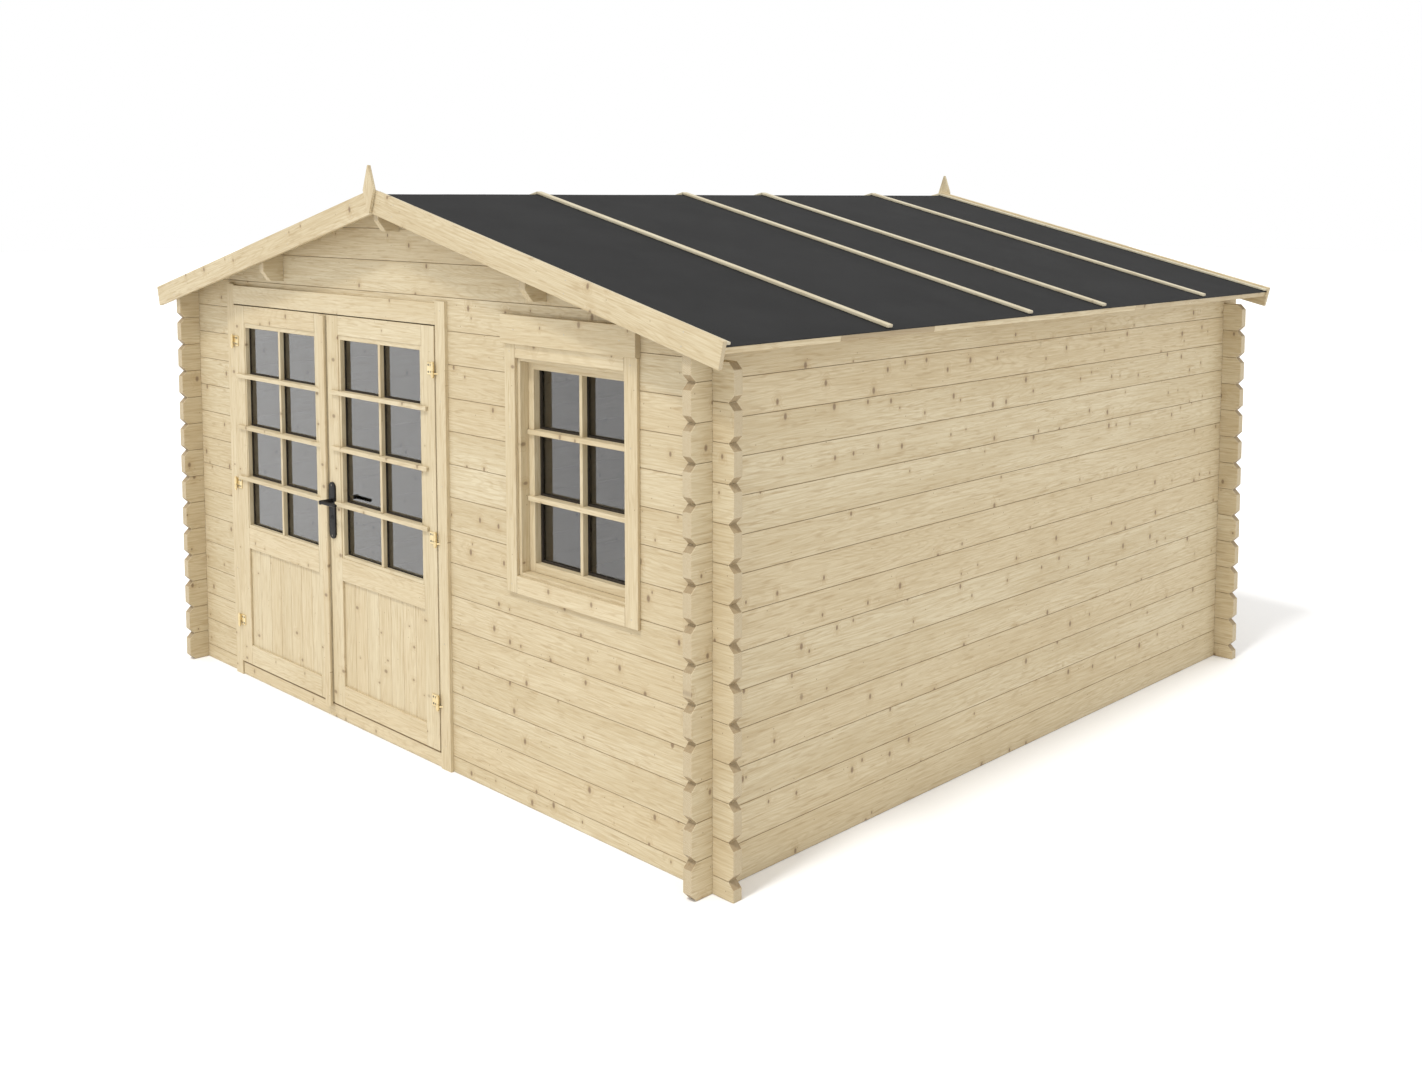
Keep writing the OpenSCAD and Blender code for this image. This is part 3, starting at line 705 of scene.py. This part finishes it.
def glazing(side, body, o, c, bars_z, bx, front, mid, g0, g1, back, xm, bead, lip, proud):
    """Glazing of one opening: o the opening, c the clear light, bars_z the cross bars from bx[0] to bx[1], front and
    back the faces of the frame, mid where the timber ends and the black rubber of painted shade starts, g0 and g1 the
    faces of the glass."""
    hb, hc = 0.0080, 0.0092
    bm = bmesh.new()
    if bead:
        frame_boxes(bm, o, c, front + 0.003, mid)
        inner = (o[0] + 0.012, o[1] - 0.012, o[2] + 0.012, o[3] - 0.012)
        frame_boxes(bm, o, inner, g1 + 0.0002, back - 0.0015)
        soften(bm, 0.0010, 2)
        grain(bm, axes_auto)
        to_object("glazing_beads_" + side, bm, JOINERY, body)
        bm = bmesh.new()
    # upright bar outside and inside
    e = 0.0002
    add_box(bm, xm - hb, xm + hb, front + 0.0042, mid, c[2] + e, c[3] - e)
    iz = 0.0123 if bead else e
    add_box(bm, xm - hb, xm + hb, g1 + e, back - 0.0005, o[2] + iz, o[3] - iz)
    soften(bm, 0.0012, 2)
    grain(bm, axes_auto)
    to_object("upright_bars_" + side, bm, JOINERY, body)
    # cross bars: a strip on the frame's face, and the part between the uprights behind it
    bm = bmesh.new()
    for i, z in enumerate(bars_z):
        x0 = bx[0][i] if isinstance(bx[0], tuple) else bx[0]
        add_box(bm, x0, bx[1], front - proud, front - e, z - hc, z + hc)
        add_box(bm, c[0] + e, xm - hb - e, front + e, mid, z - hc, z + hc)
        add_box(bm, xm + hb + e, c[1] - e, front + e, mid, z - hc, z + hc)
        xi0, xi1 = o[0] - 0.040, o[1] + 0.040
        if body == "right_leaf":
            xi0 = o[0] - 0.030
        add_box(bm, xi0, xi1, back + e, back + 0.0080, z - hc, z + hc)
    soften(bm, 0.0014, 2)
    grain(bm, axes_auto)
    to_object("cross_bars_" + side, bm, JOINERY, body)
    # black rubber between the timber and the glass, painted shade: a dark sheet standing in for the shade beside the
    # upright bar, above and below the cross bars and round the panes
    low, high, wide = 0.002, 0.007, 0.003
    xs = [o[0] + 0.0004, c[0] + lip, xm - hb - wide, xm + hb + wide, c[1] - lip, o[1] - 0.0004]
    zs = [o[2] + 0.0004, c[2] + lip]
    for z in sorted(bars_z):
        zs += [z - hc - low, z + hc + high]
    zs += [c[3] - 0.004, o[3] - 0.0004]

    def solid(x, z):
        if x < c[0] + lip or x > c[1] - lip or z < c[2] + lip or z > c[3] - 0.004:
            return True
        if abs(x - xm) < hb + wide:
            return True
        return any(b - hc - low < z < b + hc + high for b in bars_z)

    bm = bmesh.new()
    grid_solid(bm, xs, zs, solid, mid + e, g0 - e)
    to_object("painted_shade_rubber_" + side, bm, PAINTED_SHADE_RUBBER, body)


FACE, BACK = YF - 0.018, YF + 0.022
BARS_Z = (1.464, 1.219, 0.975)
LO = (-1.387 + 0.005 + 0.097, -0.544 - 0.097, 0.738, 1.715)
RO = (-0.537 + 0.090, 0.281 - 0.005 - 0.090, 0.738, 1.715)
LC = (-1.387 + 0.005 + 0.105, -0.544 - 0.105, 0.752, 1.695)
RC = (-0.537 + 0.105, 0.281 - 0.005 - 0.105, 0.752, 1.695)
glazing("left", "left_leaf", LO, LC, BARS_Z, (-1.352, -0.594), FACE, FACE + 0.0235, YF + 0.010, YF + 0.014, BACK,
        (LC[0] + LC[1]) / 2, True, 0.003, 0.0115)
glazing("right", "right_leaf", RO, RC, BARS_Z, ((-0.500, -0.500, -0.480), 0.227), FACE, FACE + 0.0235, YF + 0.010, YF + 0.014, BACK,
        (RC[0] + RC[1]) / 2, True, 0.003, 0.0115)
WO = (0.838, 1.354, 0.935, 1.668)
glazing("window", "shed", WO, WO, (1.433, 1.181), (0.811, 1.380), YF + 0.038, YF + 0.066, YF + 0.074, YF + 0.078, YF + 0.088,
        1.104, False, 0.009, 0.0110)

# ---------------------------------------------------------------- glass and metal
for n in ("left_leaf_glass", "right_leaf_glass"):
    NODES[n].data.materials.clear()
    NODES[n].data.materials.append(PANE)
NODES["window_glass"].data.materials.clear()
NODES["window_glass"].data.materials.append(PANE2)


def metal_node(node, body, mat, width, segments=3):
    bm = from_node(node)
    soften(bm, width, segments, 35.0)
    return to_object("v_" + node, bm, mat, body, (node,), smooth=38)


metal_node("frame_hinges", "shed", BRASS, 0.0012)
metal_node("left_leaf_hinges", "left_leaf", BRASS, 0.0008)
metal_node("right_leaf_hinges", "right_leaf", BRASS, 0.0008)
metal_node("handle_plates", "right_leaf", BLACK, 0.0014)
metal_node("handle_lever", "lever", BLACK, 0.0016)

# screws on the hinge flags and the handle plates, and the keyhole
HZ = (0.268, 0.936, 1.620)
for side, body, ax, d in (("left", "left_leaf", -1.3845, 1), ("right", "right_leaf", 0.2785, -1)):
    bm = bmesh.new()
    for z in HZ:
        for dx, dz in ((0.021, 0.022), (0.037, 0.022), (0.021, -0.006), (0.037, -0.006)):
            add_screw(bm, (ax + d * dx, FACE - 0.0042, z + dz), (0, -1, 0), 0.0044, 0.0014)
    to_object("hinge_screws_" + side, bm, SHADED_SCREW_STEEL, body, smooth=38)
bm = bmesh.new()
for y, d in ((FACE - 0.008, -1), (BACK + 0.008, 1)):
    for z in (0.829, 1.053):
        add_screw(bm, (-0.510, y, z), (0, d, 0), 0.0042, 0.0015)
to_object("plate_screws", bm, SHADED_SCREW_STEEL, "right_leaf", smooth=38)
bm = bmesh.new()
for y, d in ((FACE - 0.008, -1), (BACK + 0.008, 1)):
    add_lathe(bm, (-0.510, y, 0.912), (0, d, 0), [(0.0095, 0.0), (0.0095, 0.0010), (0.0086, 0.0018), (0.0055, 0.0018), (0.0050, 0.0006)], 32)
    add_box(bm, -0.5118, -0.5082, y + (d * 0.0012 if d > 0 else -0.0012) - 0.0006, y + (d * 0.0012 if d > 0 else -0.0012) + 0.0006, 0.9035, 0.9075)
to_object("keyhole_rings", bm, BLACK, "right_leaf", smooth=38)


def nail_heads(name, spots, body="shed"):
    bm = bmesh.new()
    for at, out in spots:
        add_lathe(bm, at, out, [(0.0028, 0.0), (0.0028, 0.0004), (0.0021, 0.0009), (0.0, 0.0011)], 12)
    to_object(name, bm, NAIL, body, smooth=38)


spots = []
for s in (-1, 1):
    up = (s * SA, 0, CA)
    for y in (-1.078, -0.185, 0.376, 1.270):
        for u in (0.10, 0.50, 0.95, 1.40, 1.85):
            x, z = rp(u, DECK_T + FELT_T + 0.0126, s)
            spots.append(((x, y, z), up))
    for y in (-DECK_Y + 0.013, DECK_Y - 0.013):
        for u in (0.12, 0.60, 1.10, 1.60, 1.95):
            x, z = rp(u, DECK_T + FELT_T + 0.010, s)
            spots.append(((x, y, z), up))
    for q in (-1, 1):
        for u in (0.16, 0.70, 1.25, 1.85):
            for v in (-0.030, 0.018):
                x, z = rp(u, v, s)
                spots.append(((x, q * (DECK_Y + 0.0182), z), (0, q, 0)))
nail_heads("roof_nails", spots)
spots = []
for x in (-1.418, 0.3135):
    for z in (0.10, 0.52, 1.16, 1.50, 1.86):
        spots.append(((x, YF - 0.015, z), (0, -1, 0)))
for x in (0.760, 1.4345):
    for z in (0.852, 1.10, 1.45, 1.735):
        spots.append(((x, YF - 0.014, z), (0, -1, 0)))
for x in (0.80, 1.094, 1.39):
    spots.append(((x, YF - 0.025, 1.818), (0, -1, 0)))
nail_heads("casing_nails", spots)

# ---------------------------------------------------------------- stage
floor_me = bpy.data.meshes.new("floor")
fb = bmesh.new()
add = [fb.verts.new((x, y, -0.001)) for x, y in ((-60, -60), (60, -60), (60, 60), (-60, 60))]
fb.faces.new(add)
fb.to_mesh(floor_me)
fb.free()
floor = bpy.data.objects.new("studio_floor", floor_me)
bpy.context.scene.collection.objects.link(floor)
tf = Tree("studio_white")
fn = tf.noise(tf.node("ShaderNodeTexCoord").outputs["Object"], 0.6, 2.0)
tf.link(tf.mix(tf.step(fn, 0.3, 0.7), (0.955, 0.955, 0.955), (0.97, 0.97, 0.97)), tf.bsdf.inputs["Base Color"])
tf.bsdf.inputs["Roughness"].default_value = 0.9
tf.bsdf.inputs["Specular IOR Level"].default_value = 0.1
floor_me.materials.append(tf.mat)

scene = bpy.context.scene
world = scene.world or bpy.data.worlds.new("studio")
scene.world = world
world.use_nodes = True
world.node_tree.nodes.clear()
bg = world.node_tree.nodes.new("ShaderNodeBackground")
bg.inputs["Color"].default_value = (1.0, 1.0, 1.0, 1.0)
bg.inputs["Strength"].default_value = 1.0
wo = world.node_tree.nodes.new("ShaderNodeOutputWorld")
world.node_tree.links.new(bg.outputs[0], wo.inputs[0])

key = bpy.data.lights.new("key", "SUN")
key.energy = 1.57
key.angle = math.radians(8)
key.color = (1.0, 1.0, 1.0)
ko = bpy.data.objects.new("key", key)
scene.collection.objects.link(ko)
ko.rotation_mode = "QUATERNION"
ko.rotation_quaternion = Vector((-0.03, 0.50, -0.866)).to_track_quat("-Z", "Y")
ko.location = (-0.6, -5.0, 8.6)

scene.view_settings.view_transform = "Standard"
scene.view_settings.look = "None"
scene.view_settings.exposure = 0.0
scene.view_settings.gamma = 1.0

cam_data = bpy.data.cameras.new("camera")
cam = bpy.data.objects.new("camera", cam_data)
scene.collection.objects.link(cam)
cam_data.sensor_width = 36.0
cam_data.lens = 36.916
cam_data.shift_y = -0.150
cam_data.clip_end = 200.0
cam.location = (5.1086, -5.1207, 2.2992)
cam.rotation_mode = "QUATERNION"
cam.rotation_quaternion = Vector((-0.70403, 0.70525, -0.08254)).to_track_quat("-Z", "Y")
scene.camera = cam

bpy.context.view_layer.update()
